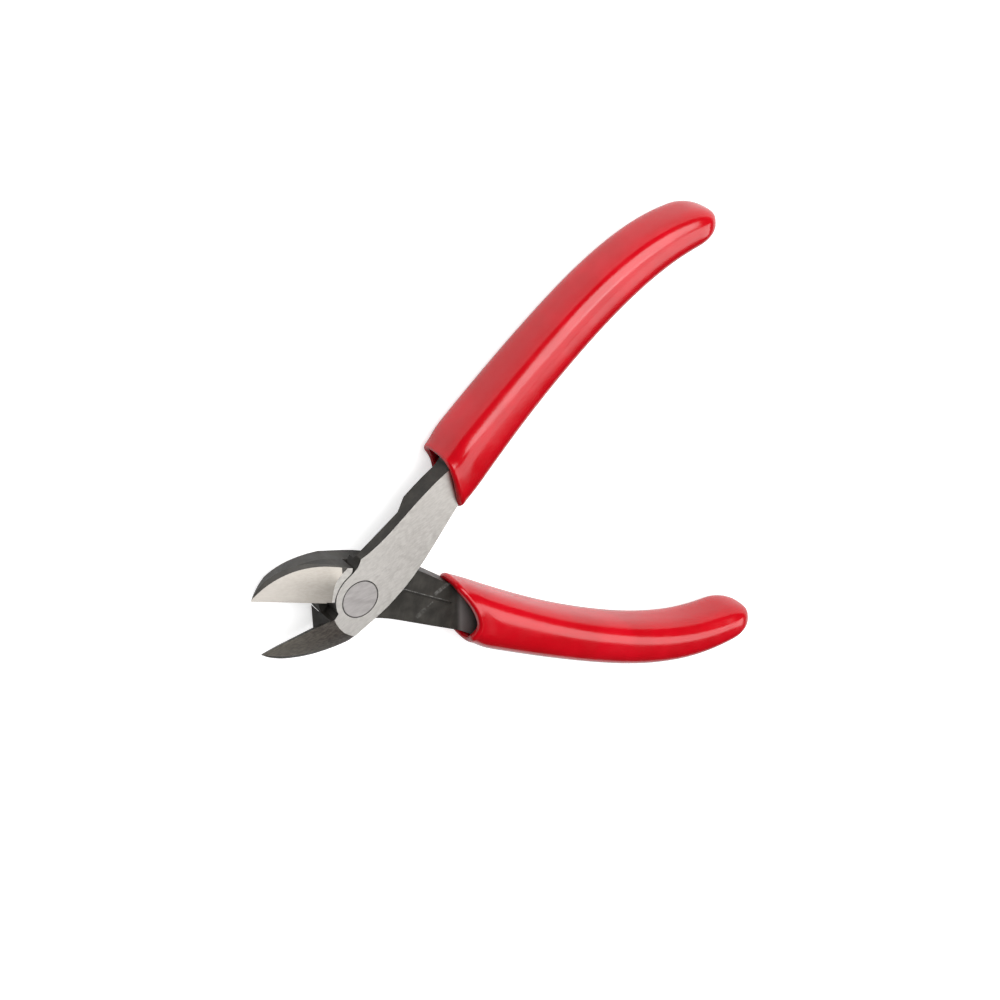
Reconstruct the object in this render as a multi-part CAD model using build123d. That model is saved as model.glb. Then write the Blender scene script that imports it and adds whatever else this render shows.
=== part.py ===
from build123d import *
import os
from math import cos, exp, hypot, pi, sin, sqrt

# Compact diagonal cutting pliers with a riveted lap joint and slip-on vinyl sleeves.
# Millimetres and degrees. Z = 0 is the ground back face of the joint, the pivot axis is Z,
# and +X runs midway between the two jaws. The halves stand open, each HALF_OPEN from closed.

# ---- driving dimensions ----
JOINT_THICK = 8.4          # ground front face to ground back face
LAP_GAP = 0.04             # between the two lap faces
HALF_OPEN = 17.2

RIVET_HEAD_R = 4.1
RIVET_SHANK_R = 2.7
RIVET_CLEAR = 0.03         # running clearance in the front half
RIVET_PRESS = 0.01         # interference in the back half
RIVET_EDGE = 0.15          # chamfer round each flush head

BACK_BOSS_R = 7.2          # round boss of the back half
BOSS_CLEAR = 0.2           # between that boss and the root of the jaw that turns round it
HEEL_BACK_X = 4.0          # where the front half's jaw starts behind the lap
HEEL_HEIGHT = 7.1          # outer side of the jaws at their heel, on the back face
EDGE_ROOT_X = 6.5          # where the jaws' fall begins, just behind the cutting edges
ROOT_SETBACK = 0.15        # the jaw's root behind the cutting plane
EDGE_SLOPE = 0.35          # fall of the cutting edge towards the tip
FLANK_SLOPE = 0.74         # relief behind the cutting edge
FLANK_END = [(7.0, -0.5), (11.3, 10.0)]    # upright wall where that relief starts
RUN_OUT_CENTRE = (-1.5, 1.5)   # arc where the flat face ends and the jaw's grind begins
RUN_OUT_R = 8.2
SIDE_FALL = 0.25           # fall of the jaw's front towards its outer side
RIM_CENTRE = (6.5, -12.0)  # arc outside which the jaw's front edge is broken
RIM_R = 19.5
RIM_SLOPE = 0.35

SLEEVE_WALL = 1.7          # in the plane of the tool
SLEEVE_PAD = 2.5           # front and back of the handle
SLEEVE_FIT = 0.03
SLEEVE_THICK = (13.4, 12.3)    # along the pivot axis, at the joint end and at the far end
SECTION_POWER = 2.8        # 2 is an ellipse, more is squarer
SECTION_POINTS = 20
CORE_WIDTH = 8.4           # widest the steel gets inside the sleeve
TIP_LENGTH = 0.08          # rounded end, as a share of the handle line
FRONT_MOUTH = (-27.5, 6, 30.0)     # foremost point of the mouth, its slant, its radius seen from the side
BACK_MOUTH = (-26.0, 16, 8.8)

GROOVE_WIDTH = 0.35        # scribed line on the back half's lap face
GROOVE_DEPTH = 0.3
GROOVE = [(-8.0, -0.1), (-25.2, -6.7)]

LAP_Z = JOINT_THICK / 2
FRONT_LAP_Z = LAP_Z + LAP_GAP / 2
BACK_LAP_Z = LAP_Z - LAP_GAP / 2

# ---- outlines of one half, drawn closed: jaw on +Y, outer side of its tang on -Y ----
FRONT_OUTER = [(-29.0, -12.2), (-22.8, -11.4), (-16.7, -10.0), (-11.9, -8.8), (-4.1, -8.0)]
BACK_OUTER = [(-29.0, -13.7), (-25.0, -12.5), (-18.3, -10.45), (-13.3, -8.9), (-8.3, -7.6), (-4.1, -7.2)]
TANG_INNER = [(-6.4, 5.5), (-13.9, 3.0), (-19.6, 0.2), (-29.0, -4.6)]
FRONT_BOSS = [(-4.1, -8.0), (-1.4, -6.4), (0.9, -5.95), (3.6, -4.45), (5.15, -1.6), (5.3, -0.4)]
FRONT_HEEL = [(4.74, 6.82), (0.7, 6.53), (-1.5, 6.35), (-6.4, 5.5)]
BACK_HEEL = [(6.0, 7.5), (2.0, 7.1), (-1.5, 6.7), (-6.4, 5.5)]
JAW_BACK = [(19.7, 0.0), (18.5, 2.4), (15.0, 5.2), (11.0, 6.7), (6.0, 7.5)]
JAW_MID = [(22.5, 0.0), (21.2, 2.6), (18.9, 4.7), (15.3, 6.5), (11.5, 7.55)]
FRONT_ROOT = [(6.0, 7.35), (4.7, 6.75), (2.0, 6.6)]     # from JAW_MID round to the heel
BACK_ROOT = [(6.0, 7.8), (2.0, 7.1)]
SHOULDER = [(5.8, -0.5), (5.75, 1.5), (5.25, 3.05), (4.65, 4.15), (3.85, 5.05), (2.95, 6.05), (2.75, 6.9)]
BEVEL_LINE = [(-18.8, -10.5), (-3.5, -7.9)]     # along the front tang's outer edge
BEVEL_RISE = [(-18.8, 0.0), (-16.0, 1.9), (-3.5, 2.2), (-3.5, -3.0), (-18.8, -3.0)]
CORE_EASE = [(-24.0, -11.5), (-29.0, -12.3), (-36.0, -16.3), (-36.0, -20.0), (-24.0, -20.0)]
RAMP = [(-24.4, -1.4), (-26.6, -13.3)]      # foot of the hollow that rises from the tang to the handle
RAMP_R = 7.0

# handle line and sleeve width, as shares of the line's length
HANDLE_LINE = [(-21.1, -6.3), (-32.9, -10.6), (-46.3, -15.2), (-63.2, -20.0),
               (-80.0, -23.0), (-92.6, -22.8)]
FRONT_END = (-103.7, -20.1)
BACK_END = (-105.3, -19.5)
WIDTH_CURVE = (13.5, -9.9, -2.7, 31.7, -26.2)     # sleeve width, as powers of the share
BODY_SHARES = [0.0, 0.12, 0.24, 0.36, 0.48, 0.6, 0.72, 0.84, 0.945]
TIP_SHARES = [0.0, 0.25, 0.45, 0.62, 0.76, 0.87, 0.95, 0.99]     # shares of the rounded end


def prism(outline, z0, z1):
    return extrude(Plane.XY.offset(z0) * make_face(outline), z1 - z0)


def handle_section(line, share, width, thick):
    """Squared oval on the plane across the handle line, its long axis along the pivot."""
    points = []
    for i in range(SECTION_POINTS):
        c = cos(2 * pi * i / SECTION_POINTS)
        n = sin(2 * pi * i / SECTION_POINTS)
        across = thick / 2 * abs(c) ** (2 / SECTION_POWER) * (1 if c >= 0 else -1)
        side = width / 2 * abs(n) ** (2 / SECTION_POWER) * (1 if n >= 0 else -1)
        points.append((across, side))
    plane = Plane(origin=line @ share, x_dir=(0, 0, 1), z_dir=line % share)
    return plane * make_face(Spline(*points, periodic=True))


def handle_body(end, wall, pad, widest=20.0):
    """The handle inset from the sleeve's outer surface by wall at its sides and pad in front."""
    line = Spline(*[Vector(x, y, LAP_Z) for x, y in HANDLE_LINE + [end]])

    def at(share, shrink):
        width = min(sum(c * share**power for power, c in enumerate(WIDTH_CURVE)) - 2 * wall, widest)
        thick = SLEEVE_THICK[0] + (SLEEVE_THICK[1] - SLEEVE_THICK[0]) * share
        return handle_section(line, share, width * shrink, (thick - 2 * pad) * shrink)

    tip_start = 1 - wall / line.length - TIP_LENGTH
    body = loft([at(share * tip_start / BODY_SHARES[-1], 1) for share in BODY_SHARES])
    tip = loft([at(tip_start + TIP_LENGTH * t, (1 - t**2.2) ** (1 / 2.2)) for t in TIP_SHARES],
               ruled=True)
    return body + tip


def jaw_face_z(x, y):
    """Front of the jaw: a fall towards the tip and the outer side, beyond the run-out arc."""
    run = hypot(x - RUN_OUT_CENTRE[0], y - RUN_OUT_CENTRE[1]) - RUN_OUT_R
    outer = min(max(y / 6.0, 0.0), 1.0)
    along = (x - EDGE_ROOT_X) * (1 - outer) + run * outer
    side = SIDE_FALL * max(y, 0) * (1 - exp(-max(run, 0) / 6))
    return JOINT_THICK - EDGE_SLOPE * along - side


def jaw_rim_z(x, y):
    """Broken edge round the front of the jaw; it only cuts outside the rim arc."""
    return jaw_face_z(x, y) + RIM_SLOPE * (RIM_R - hypot(x - RIM_CENTRE[0], y - RIM_CENTRE[1]))


def above(height):
    """Everything in front of a surface given by its height over the jaw."""
    grid = [[Vector(x, y, height(x, y)) for y in (-2, 0, 1.5, 3, 4.5, 6, 8, 10)]
            for x in (2, 4, 6, 8, 10, 13, 16, 20, 25)]
    return Solid.extrude(Face.make_surface_from_array_of_points(grid), Vector(0, 0, 14))


def jaw(root):
    """Full-thickness jaw with its cutting edge on Y = 0, at the front of the tool."""
    heel_x = root[-1][0]
    back = make_face(Spline(*JAW_BACK) + Polyline(
        JAW_BACK[-1], (heel_x, HEEL_HEIGHT), (heel_x, 0), JAW_BACK[0]))
    mid = make_face(Spline(*JAW_MID, root[0]) + Polyline(*root, (heel_x, 0), JAW_MID[0]))
    mid = Pos(0, 0, LAP_Z) * mid
    body = loft([back, mid]) + extrude(mid, LAP_Z)
    top = JOINT_THICK + EDGE_SLOPE * (EDGE_ROOT_X - heel_x)
    depth = 20.0
    wedge = Plane.YZ.offset(heel_x) * make_face(Polyline(
        (0, top), (FLANK_SLOPE * depth, top - depth), (-1, top - depth), (-1, top), close=True))
    relief = extrude(wedge, 24, dir=(1, 0, -EDGE_SLOPE))
    relief &= prism(Polyline(FLANK_END[0], FLANK_END[1], (30, 10), (30, -0.5), close=True), -1, 10)
    setback = Pos(heel_x, ROOT_SETBACK, -1) * Box(
        FLANK_END[0][0] - heel_x + 0.5, 3, 12, align=(Align.MIN, Align.MAX, Align.MIN))
    return body - above(jaw_face_z) - above(jaw_rim_z) - relief - setback


def run_out(y):
    """Point of the run-out arc at this height."""
    return RUN_OUT_CENTRE[0] + sqrt(RUN_OUT_R**2 - (y - RUN_OUT_CENTRE[1]) ** 2), y


def tang(outer, boss, edge, heel, z0, z1):
    """Half-thickness plate of one half: its tang, its boss, the heel of its jaw and the edge between."""
    outline = Spline(*outer) + Spline(*boss) + Line(boss[-1], (EDGE_ROOT_X, ROOT_SETBACK)) + edge
    outline += Spline(*heel) + Spline(*TANG_INNER) + Line(TANG_INNER[-1], outer[0])
    return prism(outline, z0, z1)


def rivet(grow):
    """Shank with a countersunk head flush with each face of the joint."""
    head, shank = RIVET_HEAD_R + grow, RIVET_SHANK_R + grow
    drop = head - shank
    profile = Polyline(
        (0, 0), (head, 0), (shank, drop), (shank, JOINT_THICK - drop), (head, JOINT_THICK),
        (0, JOINT_THICK), close=True)
    return revolve(Plane.XZ * make_face(profile), Axis.Z)


def pivot_rivet():
    body = rivet(0)
    rims = body.edges().filter_by(GeomType.CIRCLE).group_by(Axis.Z)
    return chamfer(rims[0] + rims[-1], RIVET_EDGE)


def handle_core(end, hollow_z):
    """Full-thickness steel handle, which rises in a hollow from its tang's lap face."""
    foot = Vector(*RAMP[1]) - Vector(*RAMP[0])
    step = Plane(origin=(*RAMP[0], 0), x_dir=foot, z_dir=(-foot.Y, foot.X, 0))
    body = handle_body(end, SLEEVE_WALL + SLEEVE_FIT, SLEEVE_PAD + SLEEVE_FIT, CORE_WIDTH)
    hollow = Plane(origin=(*RAMP[0], hollow_z), z_dir=foot) * Cylinder(RAMP_R, 60)
    return split(body, step, Keep.BOTTOM) - hollow


def sleeve(mouth, end, z0):
    """Hollow sleeve with a closed round end and a mouth that is rounded from the side."""
    mouth_x, slant, radius = mouth
    reach = 40.0
    ahead = Pos(mouth_x + reach - radius, 0, LAP_Z) * Box(2 * reach, 90, 20)
    nose = Pos(mouth_x - radius, 0, LAP_Z) * (Rot(90, 0, 0) * Cylinder(radius, 90))
    pivot = (mouth_x, -7.0, LAP_Z)
    cut = Pos(*pivot) * Rot(0, 0, -slant) * Pos(-mouth_x, 7.0, -LAP_Z) * (ahead - nose)
    pocket = prism(Polyline((-20, -12.0), (-31, -14.6), (-31, -3.6), (-20, 1.2), close=True),
                   z0 - SLEEVE_FIT, z0 + LAP_Z + SLEEVE_FIT)
    return handle_body(end, 0, 0) - handle_body(end, SLEEVE_WALL, SLEEVE_PAD) - cut - pocket


def lap_bevel():
    """Bevel along the front tang's outer edge on its lap side."""
    (x0, y0), (x1, y1) = BEVEL_LINE
    points = [Vector(x, y0 + (y1 - y0) * (x - x0) / (x1 - x0) - 1, FRONT_LAP_Z + rise + 1)
              for x, rise in BEVEL_RISE]
    return extrude(make_face(Polyline(*points, close=True)), 9, dir=(0, 1, -1))


def front_half():
    arc = ThreePointArc(run_out(ROOT_SETBACK), run_out(3.5), FRONT_HEEL[0])
    edge = Line((EDGE_ROOT_X, ROOT_SETBACK), arc @ 0) + arc
    steel = tang(FRONT_OUTER, FRONT_BOSS, edge, FRONT_HEEL, FRONT_LAP_Z, JOINT_THICK) - lap_bevel()
    room = Cylinder(BACK_BOSS_R + BOSS_CLEAR, 2 * FRONT_LAP_Z)
    room += Pos(HEEL_BACK_X, 0, 0) * Box(
        20, 20, 2 * FRONT_LAP_Z, align=(Align.MAX, Align.CENTER, Align.CENTER))
    steel += jaw(FRONT_ROOT) - room
    core = handle_core(FRONT_END, FRONT_LAP_Z - RAMP_R)
    steel += core - prism(Polyline(*CORE_EASE, close=True), -1, JOINT_THICK + 1)
    return steel - rivet(RIVET_CLEAR)


def back_half():
    boss = [BACK_OUTER[-1]] + [(BACK_BOSS_R * cos(a * pi / 180), BACK_BOSS_R * sin(a * pi / 180))
                             for a in (-100, -70, -40, -10)]
    edge = Line((EDGE_ROOT_X, ROOT_SETBACK), BACK_HEEL[0])
    steel = tang(BACK_OUTER, boss, edge, BACK_HEEL, 0, BACK_LAP_Z)
    outline = Spline(*SHOULDER) + Polyline(SHOULDER[-1], (3.4, 12), (-10, 12), (-10, -12), (5.9, -12),
                                           SHOULDER[0])
    steel += jaw(BACK_ROOT) - prism(outline, BACK_LAP_Z, JOINT_THICK + 1)
    steel += handle_core(BACK_END, BACK_LAP_Z + RAMP_R)
    start, end = (Vector(*p, BACK_LAP_Z) for p in GROOVE)
    along = (end - start).normalized()
    groove = Plane(origin=(start + end) / 2, x_dir=along, z_dir=(0, 0, 1)) * Box(
        (end - start).length, GROOVE_WIDTH, 2 * GROOVE_DEPTH)
    return steel - groove - rivet(-RIVET_PRESS)


def main():
    open_front = Rot(0, 0, HALF_OPEN)
    open_back = Rot(0, 0, -HALF_OPEN)
    parts = {
        "front_half": open_front * front_half(),
        "back_half": open_back * mirror(back_half(), Plane.XZ),
        "pivot_rivet": pivot_rivet(),
        "front_sleeve": open_front * sleeve(FRONT_MOUTH, FRONT_END, LAP_Z),
        "back_sleeve": open_back * mirror(sleeve(BACK_MOUTH, BACK_END, 0), Plane.XZ),
    }
    os.makedirs("parts", exist_ok=True)
    for name, shape in parts.items():
        export_step(shape, f"parts/{name}.step")
        print(name, len(shape.solids()), round(shape.volume, 1), shape.is_valid)


if __name__ == "__main__":
    main()
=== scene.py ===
from math import atan2, cos, degrees, hypot, pi, radians, sin

import bpy
import numpy as np
from mathutils import Matrix, Vector


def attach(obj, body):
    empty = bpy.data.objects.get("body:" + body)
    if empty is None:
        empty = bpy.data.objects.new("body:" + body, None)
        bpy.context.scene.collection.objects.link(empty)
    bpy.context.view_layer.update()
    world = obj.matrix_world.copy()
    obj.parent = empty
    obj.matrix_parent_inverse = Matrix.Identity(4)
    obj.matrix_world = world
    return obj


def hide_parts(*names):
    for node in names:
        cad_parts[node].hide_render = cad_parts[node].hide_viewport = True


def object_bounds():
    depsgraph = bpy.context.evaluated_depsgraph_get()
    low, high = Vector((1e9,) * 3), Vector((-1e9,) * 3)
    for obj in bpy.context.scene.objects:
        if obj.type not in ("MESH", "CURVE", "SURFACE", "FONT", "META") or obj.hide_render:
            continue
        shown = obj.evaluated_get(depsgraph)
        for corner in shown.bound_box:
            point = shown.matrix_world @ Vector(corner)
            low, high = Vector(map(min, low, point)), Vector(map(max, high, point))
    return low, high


# Compact diagonal cutting pliers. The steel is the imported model's own, with procedural finishes;
# the two vinyl sleeves are modelled here round the same handle line, and stand for the plain ones.
# Lengths are in millimetres and turned into metres as meshes and nodes are made, apart from the floor's
# place and size and the lights' distance and size, which are in metres.

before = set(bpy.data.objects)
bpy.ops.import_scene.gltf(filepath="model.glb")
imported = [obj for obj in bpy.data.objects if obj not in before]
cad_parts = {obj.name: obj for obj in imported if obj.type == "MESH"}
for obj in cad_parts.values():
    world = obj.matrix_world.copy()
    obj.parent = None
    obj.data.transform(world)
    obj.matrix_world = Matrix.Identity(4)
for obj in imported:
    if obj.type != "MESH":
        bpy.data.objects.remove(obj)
cad_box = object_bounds()

MM = 0.001
JOINT_THICK = 8.4          # ground front face to ground back face
LAP_Z = JOINT_THICK / 2
HALF_OPEN = 17.2           # each half turned this far from closed

FLOOR_Z = cad_box[0][2]    # metres
FLOOR_HALF = 3.0           # metres
FLOOR_GLOW = 0.6           # seen by the camera only, so the shadows stay pale
LIGHT_DISTANCE = 0.9       # metres

# ---- the sleeves, drawn with the tool closed, +Y towards the jaws' side of the tang ----
HANDLE_LINE = [(-21.1, -6.3), (-32.9, -10.6), (-46.3, -15.2), (-63.2, -20.0),
               (-80.0, -23.0), (-92.6, -22.8)]
FRONT_END = (-103.7, -20.1)
BACK_END = (-105.3, -19.5)
WIDTH_CURVE = (13.5, -9.9, -2.7, 31.7, -26.2)    # in the plane of the tool, as powers of the share
SLEEVE_THICK = (13.4, 12.3)                      # along the pivot axis, joint end and far end
SECTION_POWER = 2.8
CAVITY_POWER = 2.7
SLEEVE_WALL = 1.7
SLEEVE_PAD = 2.4           # front and back of the handle
TIP_SHARE = 0.08
TIP_REACH = 0.995          # keeps the rounded end just inside the plain sleeve's
TIP_POWER = 2.2
FRONT_MOUTH = (-27.5, 6.0, 1.1)      # where the mouth's edge starts, its slant, depth of its hollow
BACK_MOUTH = (-26.0, 15.5, 2.1)
MOUTH_Y = -7.0             # where that start is measured
HOLLOW_Y = -8.9            # the edge's hollow, on the side of the lap face
HOLLOW_WIDTH = (4.8, 8.3)  # towards the outer and the inner side
HOLLOW_HEIGHT = 5.4        # where it reaches its depth, from the middle of the thickness
HOLLOW_POWER = 1.3         # 1 is a parabola across the hollow, more is narrower
CAVITY_DEPTH = 0.45        # share of the handle line
TAPER_MIDDLE = 0.39        # the sleeve draws in by this at the front and back of its mouth
TAPER_SWING = 0.21         # more than that at the outer side, less at the inner side
TAPER_LENGTH = 5.0         # by here the drawing in has faded to a twentieth

LINE_SAMPLES = 800
FINE_SAMPLES = 2000        # along a spline before it is spaced evenly
MOUTH_REACH = 0.3          # the mouth lies within this share of the handle line
MOUTH_SAMPLES = 400
RING = 96                  # points round a sleeve
ALONG = 140                # rings from the mouth to the rounded end
TIP_RINGS = 18
RIM_RINGS = 10
CAVITY_RINGS = 40
BODY_CROWDING = 1.5        # over 1 puts more rings near the mouth
CAVITY_CROWDING = 0.6      # counted from the cavity's depth, so under 1 does the same


def spline(points, count):
    """Natural cubic spline through the points, sampled evenly by length."""
    p = np.array(points, float)
    t = np.concatenate([[0], np.cumsum(np.linalg.norm(np.diff(p, axis=0), axis=1))])
    h = np.diff(t)
    n = len(p)
    system = np.eye(n)
    right = np.zeros_like(p)
    for i in range(1, n - 1):
        system[i, i - 1:i + 2] = h[i - 1], 2 * (h[i - 1] + h[i]), h[i]
        right[i] = 6 * ((p[i + 1] - p[i]) / h[i] - (p[i] - p[i - 1]) / h[i - 1])
    bend = np.linalg.solve(system, right)
    fine = np.linspace(0, t[-1], FINE_SAMPLES)
    k = np.clip(np.searchsorted(t, fine, side="right") - 1, 0, n - 2)
    a = ((t[k + 1] - fine) / h[k])[:, None]
    b = 1 - a
    bow = (a**3 - a) * bend[k] + (b**3 - b) * bend[k + 1]
    curve = a * p[k] + b * p[k + 1] + bow * (h[k] ** 2)[:, None] / 6
    length = np.concatenate([[0], np.cumsum(np.linalg.norm(np.diff(curve, axis=0), axis=1))])
    even = np.linspace(0, length[-1], count)
    return np.stack([np.interp(even, length, curve[:, i]) for i in (0, 1)], axis=1), length[-1]


class Handle:
    """The sleeve's centre line and its sections, by share of the line's length."""

    def __init__(self, end):
        self.line, self.length = spline(HANDLE_LINE + [end], LINE_SAMPLES)
        self.shares = np.linspace(0, 1, LINE_SAMPLES)
        self.slopes = np.gradient(self.line, axis=0)
        self.slopes /= np.linalg.norm(self.slopes, axis=1)[:, None]

    def at(self, share):
        centre = np.stack([np.interp(share, self.shares, self.line[:, i]) for i in (0, 1)], axis=-1)
        along = np.stack([np.interp(share, self.shares, self.slopes[:, i]) for i in (0, 1)], axis=-1)
        return centre, along / np.linalg.norm(along, axis=-1, keepdims=True)

    def surface(self, share, angle, wall=0.0, pad=0.0, power=SECTION_POWER, shrink=1.0):
        """Points at the given shares and angles round the section; angle 0 is the front.

        Wall takes them in at the two sides, pad at the front and back, and shrink scales both.
        """
        centre, along = self.at(share)
        width = sum(c * share**k for k, c in enumerate(WIDTH_CURVE)) / 2 - wall
        thick = (SLEEVE_THICK[0] + (SLEEVE_THICK[1] - SLEEVE_THICK[0]) * share) / 2 - pad
        c, s = np.cos(angle), np.sin(angle)
        up = thick * np.sign(c) * abs(c) ** (2 / power) * shrink
        side = width * np.sign(s) * abs(s) ** (2 / power) * shrink
        x = centre[..., 0] + along[..., 1] * side
        y = centre[..., 1] - along[..., 0] * side
        return np.stack([x, y, LAP_Z + up], axis=-1)


def mouth_share(handle, angle, mouth, lap_side):
    """Share at which the sleeve's surface meets the mouth, for each angle round it.

    lap_side is 1 where the half's lap face looks forwards, and -1 where it looks back.
    """
    start, slant, depth = mouth
    shares = np.linspace(0, MOUTH_REACH, MOUTH_SAMPLES)
    found = []
    for a in angle:
        p = handle.surface(shares, np.full_like(shares, a))
        ahead = (p[:, 0] - start) * cos(radians(slant)) - (p[:, 1] - MOUTH_Y) * sin(radians(slant))
        off = p[:, 1] - HOLLOW_Y
        across = np.clip(off / np.where(off < 0, *HOLLOW_WIDTH), -1, 1)
        height = np.clip(lap_side * (p[:, 2] - LAP_Z) / HOLLOW_HEIGHT, 0, 1)
        hollow = depth * (1 - across**2) ** HOLLOW_POWER * height**2
        found.append(np.interp(0, -(ahead + hollow), shares))
    return np.array(found)


def sleeve_rings(end, mouth, lap_side):
    """Rings of points from the cavity's depth, round the lip and along the outside to the end."""
    handle = Handle(end)
    angle = np.linspace(0, 2 * pi, RING, endpoint=False)
    lip = mouth_share(handle, angle, mouth, lap_side)
    cavity = dict(wall=SLEEVE_WALL, pad=SLEEVE_PAD, power=CAVITY_POWER)
    drawn_in = TAPER_MIDDLE - TAPER_SWING * np.sin(angle)
    outer = handle.surface(lip, angle, drawn_in, drawn_in)
    inner = handle.surface(lip, angle, **cavity)
    rim = np.linalg.norm(outer - inner, axis=1) / 2
    base = lip + rim / handle.length
    rings = []
    for i in range(CAVITY_RINGS):
        share = CAVITY_DEPTH + (base - CAVITY_DEPTH) * (i / CAVITY_RINGS) ** CAVITY_CROWDING
        rings.append(handle.surface(share, angle, **cavity))
    outer = handle.surface(base, angle, drawn_in, drawn_in)
    inner = handle.surface(base, angle, **cavity)
    back = np.concatenate([-handle.at(base)[1], np.zeros((RING, 1))], axis=1)
    for i in range(RIM_RINGS + 1):
        turn = pi * (1 - i / RIM_RINGS)
        round_lip = (outer - inner) / 2 * cos(turn) + back * (rim * sin(turn))[:, None]
        rings.append((outer + inner) / 2 + round_lip)
    last = 1 - TIP_SHARE
    for i in range(1, ALONG + 1):
        share = base + (last - base) * (i / ALONG) ** BODY_CROWDING
        taper = drawn_in * np.exp(-3 * ((share - base) * handle.length / TAPER_LENGTH) ** 2)
        rings.append(handle.surface(share, angle, taper, taper))
    for i in range(1, TIP_RINGS + 1):
        part = sin(pi / 2 * i / TIP_RINGS)
        shrink = max(1 - part**TIP_POWER, 0) ** (1 / TIP_POWER)
        share = np.full(RING, last + TIP_SHARE * TIP_REACH * part)
        rings.append(handle.surface(share, angle, shrink=shrink))
    return rings


def placed(points, back):
    """From the closed drawing to where the half stands; the back half is the mirror image."""
    turn = radians(-HALF_OPEN if back else HALF_OPEN)
    x, y = points[..., 0], points[..., 1] * (-1 if back else 1)
    return np.stack([x * cos(turn) - y * sin(turn), x * sin(turn) + y * cos(turn), points[..., 2]], axis=-1)


def ring_mesh(name, rings, flip):
    """A closed skin over the rings, with a fan at each end."""
    middles = np.stack([rings[0].mean(axis=0), rings[-1].mean(axis=0)])
    rings = rings[:-1]
    count = len(rings)
    points = np.concatenate(rings + [middles])
    first, last = count * RING, count * RING + 1
    faces = []
    for i in range(count - 1):
        for j in range(RING):
            k = (j + 1) % RING
            faces.append((i * RING + j, i * RING + k, (i + 1) * RING + k, (i + 1) * RING + j))
    for j in range(RING):
        k = (j + 1) % RING
        faces.append((first, k, j))
        faces.append((last, (count - 1) * RING + j, (count - 1) * RING + k))
    if flip:
        faces = [f[::-1] for f in faces]
    mesh = bpy.data.meshes.new(name)
    mesh.from_pydata((points * MM).tolist(), [], faces)
    mesh.polygons.foreach_set("use_smooth", [True] * len(mesh.polygons))
    mesh.update()
    piece = bpy.data.objects.new(name, mesh)
    bpy.context.collection.objects.link(piece)
    return piece


# ---- materials ----
class Nodes:
    """Short calls for building one material's nodes."""

    def __init__(self, name):
        self.material = bpy.data.materials.new(name)
        self.material.use_nodes = True
        self.tree = self.material.node_tree
        self.shader = self.tree.nodes["Principled BSDF"]
        self.coords = self.tree.nodes.new("ShaderNodeTexCoord")

    def link(self, value, socket):
        if isinstance(value, bpy.types.NodeSocket):
            self.tree.links.new(value, socket)
        else:
            socket.default_value = value

    def math(self, kind, a, b=0.0, c=0.0):
        node = self.tree.nodes.new("ShaderNodeMath")
        node.operation = kind
        for value, socket in zip((a, b, c), node.inputs):
            self.link(value, socket)
        return node.outputs[0]

    def product(self, share, *others):
        for other in others:
            share = self.math("MULTIPLY", share, other)
        return share

    def rest(self, share):
        return self.math("SUBTRACT", 1.0, share)

    def above(self, value, limit):
        """1 where the value is over a limit in millimetres, else 0."""
        return self.math("GREATER_THAN", value, limit * MM)

    def below(self, value, limit):
        """1 where the value is under a limit in millimetres, else 0."""
        return self.math("LESS_THAN", value, limit * MM)

    def distance(self, x, y, centre=(0.0, 0.0)):
        """Distance in the XY plane from a centre given in millimetres."""
        squares = [self.math("POWER", self.math("SUBTRACT", v, c * MM), 2.0) for v, c in zip((x, y), centre)]
        return self.math("SQRT", self.math("ADD", *squares))

    def ramp(self, value, low, high, to_low=0.0, to_high=1.0):
        """Smooth step of value between low and high."""
        node = self.tree.nodes.new("ShaderNodeMapRange")
        node.interpolation_type = "SMOOTHSTEP"
        for v, socket in zip((value, low, high, to_low, to_high), node.inputs):
            self.link(v, socket)
        return node.outputs[0]

    def fade(self, length, span, to_low=0.0, to_high=1.0):
        """Smooth step of a length over a span given in millimetres."""
        return self.ramp(length, span[0] * MM, span[1] * MM, to_low, to_high)

    def spread(self, noise, to_low=0.0, to_high=1.0):
        """Smooth step over the values that a noise mostly takes."""
        return self.ramp(noise, NOISE_SPAN[0], NOISE_SPAN[1], to_low, to_high)

    def moved(self, scale=(1, 1, 1), turn=0.0, shift=(0, 0, 0), vector=None):
        node = self.tree.nodes.new("ShaderNodeMapping")
        self.link(vector or self.coords.outputs["Object"], node.inputs["Vector"])
        node.inputs["Scale"].default_value = scale
        node.inputs["Rotation"].default_value = (0, 0, radians(turn))
        node.inputs["Location"].default_value = shift
        return node.outputs[0]

    def noise(self, vector, scale, detail, rough=0.55):
        node = self.tree.nodes.new("ShaderNodeTexNoise")
        self.link(vector, node.inputs["Vector"])
        node.inputs["Scale"].default_value = scale
        node.inputs["Detail"].default_value = detail
        node.inputs["Roughness"].default_value = rough
        return node.outputs["Fac"]

    def split(self, vector):
        node = self.tree.nodes.new("ShaderNodeSeparateXYZ")
        self.link(vector, node.inputs[0])
        return node.outputs

    def mix(self, share, a, b):
        """Blend of two colours, which a Mix node takes at its inputs 6 and 7."""
        node = self.tree.nodes.new("ShaderNodeMix")
        node.data_type = "RGBA"
        for value, socket in zip((share, a, b), (node.inputs[0], node.inputs[6], node.inputs[7])):
            self.link(value, socket)
        return node.outputs[2]

    def bump(self, height, strength, distance, normal=None):
        """Distance is in millimetres."""
        node = self.tree.nodes.new("ShaderNodeBump")
        self.link(height, node.inputs["Height"])
        node.inputs["Strength"].default_value = strength
        node.inputs["Distance"].default_value = distance * MM
        if normal is not None:
            self.link(normal, node.inputs["Normal"])
        return node.outputs[0]

    def set(self, **inputs):
        for key, value in inputs.items():
            self.link(value, self.shader.inputs[key.replace("_", " ")])


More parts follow.
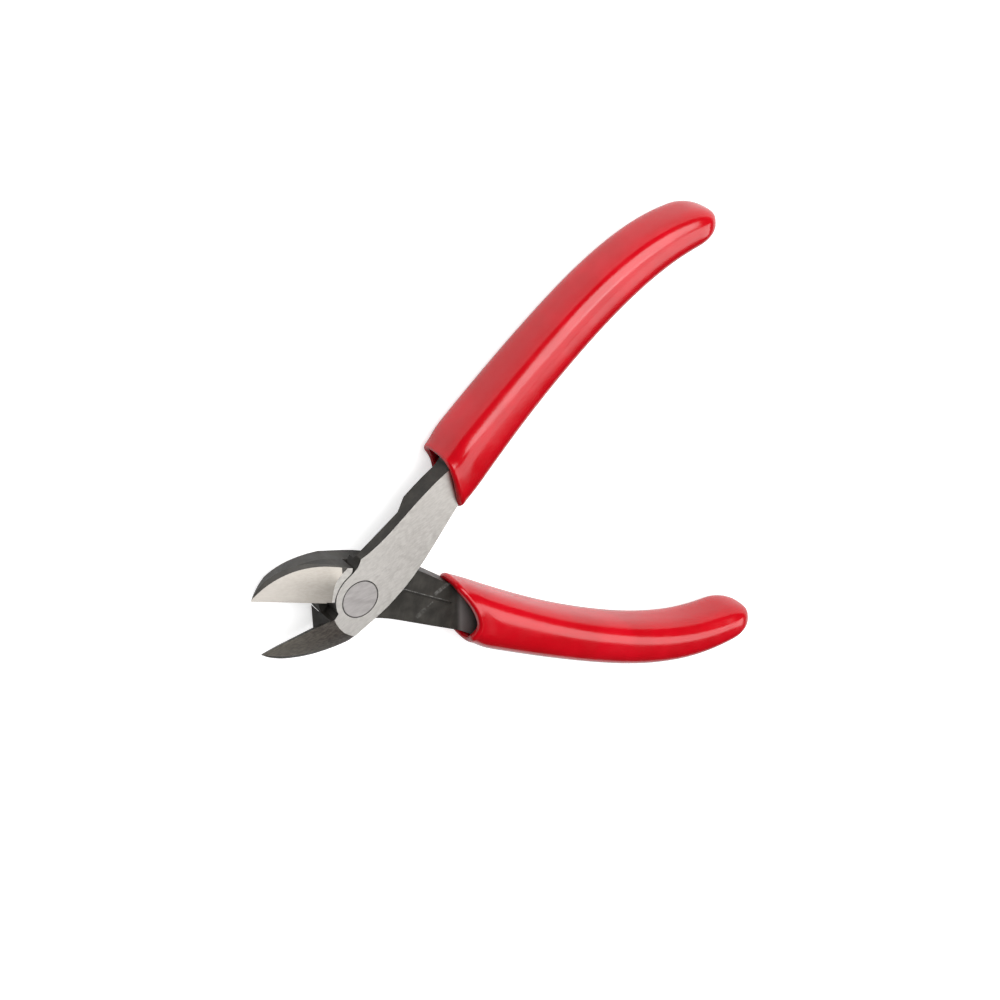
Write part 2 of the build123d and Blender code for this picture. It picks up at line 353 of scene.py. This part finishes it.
VINYL_RED = (0.50, 0.0009, 0.0080, 1)
VINYL_DEEP = (0.43, 0.0006, 0.0052, 1)
OXIDE_DARK = (0.017, 0.0152, 0.0125, 1)
OXIDE_LIGHT = (0.042, 0.038, 0.032, 1)
# painted highlight: a pale band in the back half's hollow, where a softbox would be reflected
HOLLOW_PAINTED_HIGHLIGHT = (0.17, 0.155, 0.15, 1)
GROUND_LIGHT = (0.80, 0.77, 0.73, 1)
GROUND_DARK = (0.60, 0.57, 0.535, 1)
# painted reflection: both jaws are the same ground steel, painted brighter towards the tip and lighter or
# darker on each half
BACK_JAW_TIP_STEEL_AND_SHEEN = (0.47, 0.44, 0.407, 1)
BACK_JAW_ROOT_STEEL_AND_SHADE = (0.36, 0.334, 0.30, 1)
FRONT_JAW_TIP_STEEL_AND_SHEEN = (0.72, 0.675, 0.60, 1)
FRONT_JAW_ROOT_STEEL_AND_SHADE = (0.27, 0.24, 0.228, 1)
RIVET_LIGHT = (0.56, 0.53, 0.52, 1)
RIVET_DARK = (0.48, 0.455, 0.445, 1)
# lighter colour for the rub marks, and a painted highlight along the scribed line's step
SCUFF_AND_HIGHLIGHT = (0.23, 0.225, 0.215, 1)
FLOOR_LIGHT = (0.76, 0.76, 0.76, 1)
FLOOR_DARK = (0.74, 0.74, 0.74, 1)
STUDIO_DARK = (0.05, 0.05, 0.05, 1)
STUDIO_PALE = (0.8, 0.8, 0.8, 1)

NOISE_SPAN = (0.3, 0.7)
OXIDE_SPAN = (0.14, 0.42)  # the same for the product of two noises
OXIDE_METALLIC = 0.25
STEEL_SHINE = 0.35
FLAT_GRIT = 0.4            # how much the grinding lines lighten each ground face
JAW_GRIT = 0.45
JAW_ROUGHER = (0.03, 0.2)  # front half, back half; on top of the flat faces' roughness

# ---- where each finish and each painted highlight lies on a half, drawn closed ----
FLAT_SKIN = 0.03           # depth of the ground finish on the front face
BACK_SKIN = 0.02
FLAT_FACING = 0.97         # least share of the normal along +Z
JAW_FACING = 0.8
HOLLOW_FACING = 0.3
JAW_START = (5.0, -0.05)   # least x and y of the ground jaw
RIM_CENTRE = (6.5, -12.0)  # arc beyond which the jaw's front edge is broken and stays black
RIM_R = 19.52
FLAT_FADE = (-18.0, 2.0)   # x over which the ground tang and boss get brighter
JAW_SHEEN_FADE = (6.0, 20.0)     # x over which the jaw's painted reflection brightens it
HOLLOW_X = -24.0           # the back half's hollow lies beyond this
HIGHLIGHT_FOOT = (LAP_Z + 0.04, LAP_Z + 0.3)    # z over which its painted highlight comes in
HIGHLIGHT_TOP = (LAP_Z + 0.9, LAP_Z + 2.4)      # z over which that fades again
RIVET_FACE_R = (3.75, 4.02)                  # the rivet's ground face ends at its black chamfer
# rub marks, and a painted highlight along the scribed line's step: from, to, half width, strength
SCUFFS_AND_STEP_HIGHLIGHT = [((-24.6, -1.3), (-20.6, -4.2), 0.7, 0.4), ((-20.7, -5.6), (-19.4, -6.7), 0.25, 0.35),
          ((-19.2, -6.9), (-17.0, -9.0), 0.8, 0.2), ((-8.1, 0.16), (-25.0, -6.35), 0.17, 0.6)]


def vinyl():
    n = Nodes("red_vinyl")
    where = n.coords.outputs["Object"]
    cloud = n.noise(where, scale=90.0, detail=3.0)
    grain = n.noise(where, scale=1400.0, detail=2.0)
    patches = n.noise(where, scale=260.0, detail=4.0)
    n.set(Base_Color=n.mix(n.ramp(cloud, 0.35, 0.65), VINYL_DEEP, VINYL_RED))
    n.set(Roughness=n.spread(patches, to_low=0.16, to_high=0.23))
    n.set(IOR=1.5)
    waves = n.bump(cloud, strength=0.18, distance=0.25)
    n.set(Normal=n.bump(grain, strength=0.05, distance=0.02, normal=waves))
    return n.material


def ground_masks(n, drawn, facing):
    """Shares of the flat faces and of the jaw's front that are ground, each 0 or 1."""
    x, y, z = n.split(drawn)
    front = n.product(n.above(z, JOINT_THICK - FLAT_SKIN), n.math("GREATER_THAN", facing, FLAT_FACING))
    flat = n.math("MAXIMUM", front, n.below(z, BACK_SKIN))
    inside_rim = n.below(n.distance(x, y, RIM_CENTRE), RIM_R)
    jaw = n.product(inside_rim, n.math("GREATER_THAN", facing, JAW_FACING),
                    n.above(x, JAW_START[0]), n.above(y, JAW_START[1]), n.rest(flat))
    return flat, jaw


def grinding_lines(n, drawn, jaw):
    """Fine lines, lengthwise on the jaw and slanted on the flat faces."""
    stretched = n.moved(scale=(0.05, 1, 1), vector=drawn)
    on_jaw = n.noise(stretched, scale=3200.0, detail=3.0, rough=0.6)
    slanted = n.moved(scale=(0.35, 1, 1), turn=20, vector=drawn)
    on_flat = n.noise(slanted, scale=2400.0, detail=3.0, rough=0.6)
    return n.math("ADD", n.product(on_jaw, jaw), n.product(on_flat, n.rest(jaw)))


def ground_colour_and_sheen(n, drawn, jaw, lines, back):
    """Bare steel, brighter towards the boss on the flat faces; the jaw carries a painted reflection,
    brighter towards the tip and different on each half.
    """
    x = n.split(drawn)[0]
    grit = n.spread(lines)
    along = n.fade(x, FLAT_FADE, to_high=0.5)
    flat_colour = n.mix(n.math("MULTIPLY_ADD", grit, FLAT_GRIT, along), GROUND_DARK, GROUND_LIGHT)
    # painted reflection: each half's jaw gets its own colours, brighter towards the tip
    root, tip = (BACK_JAW_ROOT_STEEL_AND_SHADE, BACK_JAW_TIP_STEEL_AND_SHEEN) if back else (FRONT_JAW_ROOT_STEEL_AND_SHADE, FRONT_JAW_TIP_STEEL_AND_SHEEN)
    along = n.fade(x, JAW_SHEEN_FADE, to_low=-0.1, to_high=0.65)
    jaw_colour_and_sheen = n.mix(n.math("MULTIPLY_ADD", grit, JAW_GRIT, along), root, tip)
    return n.mix(jaw, flat_colour, jaw_colour_and_sheen)


def oxide_colour_and_highlights(n, drawn, facing, mottle, back):
    """Mottled black; the back half's has rub marks and a painted highlight along its scribed line on its lap
    face, and a painted highlight in its hollow.
    """
    wiped = n.moved(scale=(1, 0.18, 1), turn=35, vector=drawn)
    smear = n.noise(wiped, scale=240.0, detail=5.0, rough=0.7)
    colour = n.mix(n.ramp(n.product(mottle, smear), *OXIDE_SPAN), OXIDE_DARK, OXIDE_LIGHT)
    if not back:
        return colour
    x, _, z = n.split(drawn)
    colour = n.mix(scuffs_and_step_highlight(n, drawn, z), colour, SCUFF_AND_HIGHLIGHT)
    # painted highlight: a paler band across the hollow, where a softbox would be reflected
    hollow = n.product(n.fade(z, HIGHLIGHT_FOOT), n.fade(z, HIGHLIGHT_TOP, to_low=1.0, to_high=0.3),
                       n.below(x, HOLLOW_X), n.math("GREATER_THAN", facing, HOLLOW_FACING))
    return n.mix(hollow, colour, HOLLOW_PAINTED_HIGHLIGHT)


def scuffs_and_step_highlight(n, drawn, z):
    """Rub marks on the back half's lap face, and a painted highlight along the step of its scribed line."""
    share = 0.0
    broken = n.ramp(n.noise(drawn, scale=1300.0, detail=5.0, rough=0.75), 0.42, 0.62)
    for (x0, y0), (x1, y1), half_width, strength in SCUFFS_AND_STEP_HIGHLIGHT:
        long = hypot(x1 - x0, y1 - y0)
        turn = degrees(atan2(y1 - y0, x1 - x0))
        # a mapping node turns first and moves afterwards
        c, s = cos(radians(-turn)), sin(radians(-turn))
        shift = (-(x0 * c - y0 * s) * MM, -(x0 * s + y0 * c) * MM, 0)
        u, v, _ = n.split(n.moved(turn=-turn, shift=shift, vector=drawn))
        off_middle = n.math("ABSOLUTE", n.math("SUBTRACT", u, long / 2 * MM))
        band = n.fade(n.math("ABSOLUTE", v), (0.35 * half_width, half_width), to_low=1.0, to_high=0.0)
        ends = n.fade(off_middle, (0.38 * long, 0.5 * long), to_low=1.0, to_high=0.0)
        share = n.math("MAXIMUM", share, n.product(band, ends, strength))
    off_lap = n.math("ABSOLUTE", n.math("SUBTRACT", z, LAP_Z * MM))
    on_lap = n.fade(off_lap, (0.05, 0.1), to_low=1.0, to_high=0.0)
    return n.product(share, on_lap, n.math("MULTIPLY_ADD", broken, 0.75, 0.25))


def steel(name, back):
    """Black oxide, with satin steel wherever the half was ground."""
    n = Nodes(name)
    drawn = n.moved(scale=(1, -1 if back else 1, 1), turn=-HALF_OPEN)
    facing = n.split(n.coords.outputs["Normal"])[2]
    flat, jaw = ground_masks(n, drawn, facing)
    ground = n.math("MAXIMUM", flat, jaw)
    oxide = n.rest(ground)
    lines = grinding_lines(n, drawn, jaw)
    mottle = n.noise(drawn, scale=330.0, detail=6.0, rough=0.65)
    oxide_and_highlights = oxide_colour_and_highlights(n, drawn, facing, mottle, back)
    # the base colour carries the painted reflection on the jaws and the painted highlights on the back half
    n.set(Base_Color=n.mix(ground, oxide_and_highlights, ground_colour_and_sheen(n, drawn, jaw, lines, back)))
    n.set(Metallic=n.math("MULTIPLY_ADD", ground, 1 - OXIDE_METALLIC, OXIDE_METALLIC))
    ground_rough = n.spread(lines, to_low=0.32, to_high=0.38)
    ground_rough = n.math("ADD", ground_rough, n.product(jaw, JAW_ROUGHER[back]))
    oxide_rough = n.spread(mottle, to_low=0.36, to_high=0.52)
    n.set(Roughness=n.math("ADD", n.product(ground_rough, ground), n.product(oxide_rough, oxide)))
    n.set(Specular_IOR_Level=STEEL_SHINE)
    waves = n.bump(n.product(mottle, oxide), strength=0.12, distance=0.04)
    n.set(Normal=n.bump(lines, strength=0.05, distance=0.02, normal=waves))
    return n.material


def rivet_steel():
    n = Nodes("rivet_steel_ground")
    x, y, _ = n.split(n.coords.outputs["Object"])
    edge = n.fade(n.distance(x, y), RIVET_FACE_R)
    turned = n.noise(n.moved(scale=(0.25, 1, 1), turn=20), scale=1700.0, detail=4.0, rough=0.65)
    face = n.mix(n.spread(turned), RIVET_DARK, RIVET_LIGHT)
    n.set(Base_Color=n.mix(edge, face, OXIDE_LIGHT))
    n.set(Metallic=1.0)
    n.set(Roughness=n.spread(turned, to_low=0.34, to_high=0.42))
    n.set(Normal=n.bump(turned, strength=0.05, distance=0.03))
    return n.material


def floor_paint():
    n = Nodes("pale_floor")
    speck = n.noise(n.coords.outputs["Object"], scale=40.0, detail=3.0)
    n.set(Base_Color=n.mix(speck, FLOOR_DARK, FLOOR_LIGHT))
    n.set(Roughness=0.9)
    rays = n.tree.nodes.new("ShaderNodeLightPath")
    n.set(Emission_Color=(1, 1, 1, 1))
    n.set(Emission_Strength=n.product(rays.outputs["Is Camera Ray"], FLOOR_GLOW))
    return n.material


# ---- stage, light and camera ----
def floor():
    corners = [(x * FLOOR_HALF, y * FLOOR_HALF, FLOOR_Z) for x, y in ((-1, -1), (1, -1), (1, 1), (-1, 1))]
    mesh = bpy.data.meshes.new("floor")
    mesh.from_pydata(corners, [], [(0, 1, 2, 3)])
    piece = bpy.data.objects.new("floor", mesh)
    piece.data.materials.append(floor_paint())
    bpy.context.collection.objects.link(piece)


def direction(azimuth, elevation):
    """Azimuth is from +X towards +Y."""
    a, e = radians(azimuth), radians(elevation)
    return Vector((cos(a) * cos(e), sin(a) * cos(e), sin(e)))


def softbox(name, azimuth, elevation, size, radiance, target=(-36, 0, 0), tint=(1, 1, 1), lights=True):
    """A rectangle of even brightness, its size in metres and its target in millimetres.

    One that doesn't light is only there to be reflected.
    """
    width, height = size
    data = bpy.data.lights.new(name, "AREA")
    data.shape = "RECTANGLE"
    data.size, data.size_y = width, height
    data.energy = radiance * pi * width * height
    data.color = tint
    light = bpy.data.objects.new(name, data)
    light.visible_diffuse = lights
    way = direction(azimuth, elevation)
    light.location = Vector(target) * MM + way * LIGHT_DISTANCE
    light.rotation_euler = way.to_track_quat("Z", "Y").to_euler()
    bpy.context.collection.objects.link(light)


def surroundings():
    """A dim studio: pale where the camera looks past the floor, dark to everything else."""
    world = bpy.data.worlds.new("studio")
    world.use_nodes = True
    tree = world.node_tree
    background = tree.nodes["Background"]
    rays = tree.nodes.new("ShaderNodeLightPath")
    blend = tree.nodes.new("ShaderNodeMix")
    blend.data_type = "RGBA"
    blend.inputs[6].default_value = STUDIO_DARK
    blend.inputs[7].default_value = STUDIO_PALE
    tree.links.new(rays.outputs["Is Camera Ray"], blend.inputs[0])
    tree.links.new(blend.outputs[2], background.inputs["Color"])
    bpy.context.scene.world = world


def camera():
    target = (-36.5, -5.15, LAP_Z)
    azimuth, elevation, roll = -53.264, 47.053, 127.27
    distance = 522.5
    data = bpy.data.cameras.new("camera")
    data.lens = 92.4
    eye = bpy.data.objects.new("camera", data)
    way = direction(azimuth, elevation)
    aim = way.to_track_quat("Z", "Y").to_matrix().to_4x4() @ Matrix.Rotation(radians(roll), 4, "Z")
    eye.matrix_world = Matrix.Translation((Vector(target) + way * distance) * MM) @ aim
    bpy.context.collection.objects.link(eye)
    bpy.context.scene.camera = eye


def sleeves():
    red = vinyl()
    for name, end, mouth, body, back in (
            ("front_sleeve", FRONT_END, FRONT_MOUTH, "front_lever", False),
            ("back_sleeve", BACK_END, BACK_MOUTH, "back_lever", True)):
        rings = [placed(r, back) for r in sleeve_rings(end, mouth, 1 if back else -1)]
        piece = ring_mesh(name + "_vinyl", rings, not back)
        piece.data.materials.append(red)
        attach(piece, body)
        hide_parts(name)


def finishes():
    made = {"front_half": steel("front_half_finish_and_painted_sheen", False), "back_half": steel("back_half_finish_and_painted_sheen", True),
            "pivot_rivet": rivet_steel()}
    for name, material in made.items():
        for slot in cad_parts[name].material_slots:
            slot.material = material


bpy.context.scene.view_settings.view_transform = "Standard"
camera()
surroundings()
floor()
softbox("key", azimuth=-100, elevation=53, size=(0.95, 0.85), radiance=5.3)
softbox("side", azimuth=159, elevation=40, size=(0.5, 0.62), radiance=3.3, lights=False)
softbox("top", azimuth=140, elevation=80, size=(0.75, 0.65), radiance=2.3)
softbox("card", azimuth=70, elevation=30, size=(0.35, 0.3), radiance=0.2, target=(0, 0, 0),
        tint=(1.0, 0.86, 0.72), lights=False)
sleeves()
finishes()
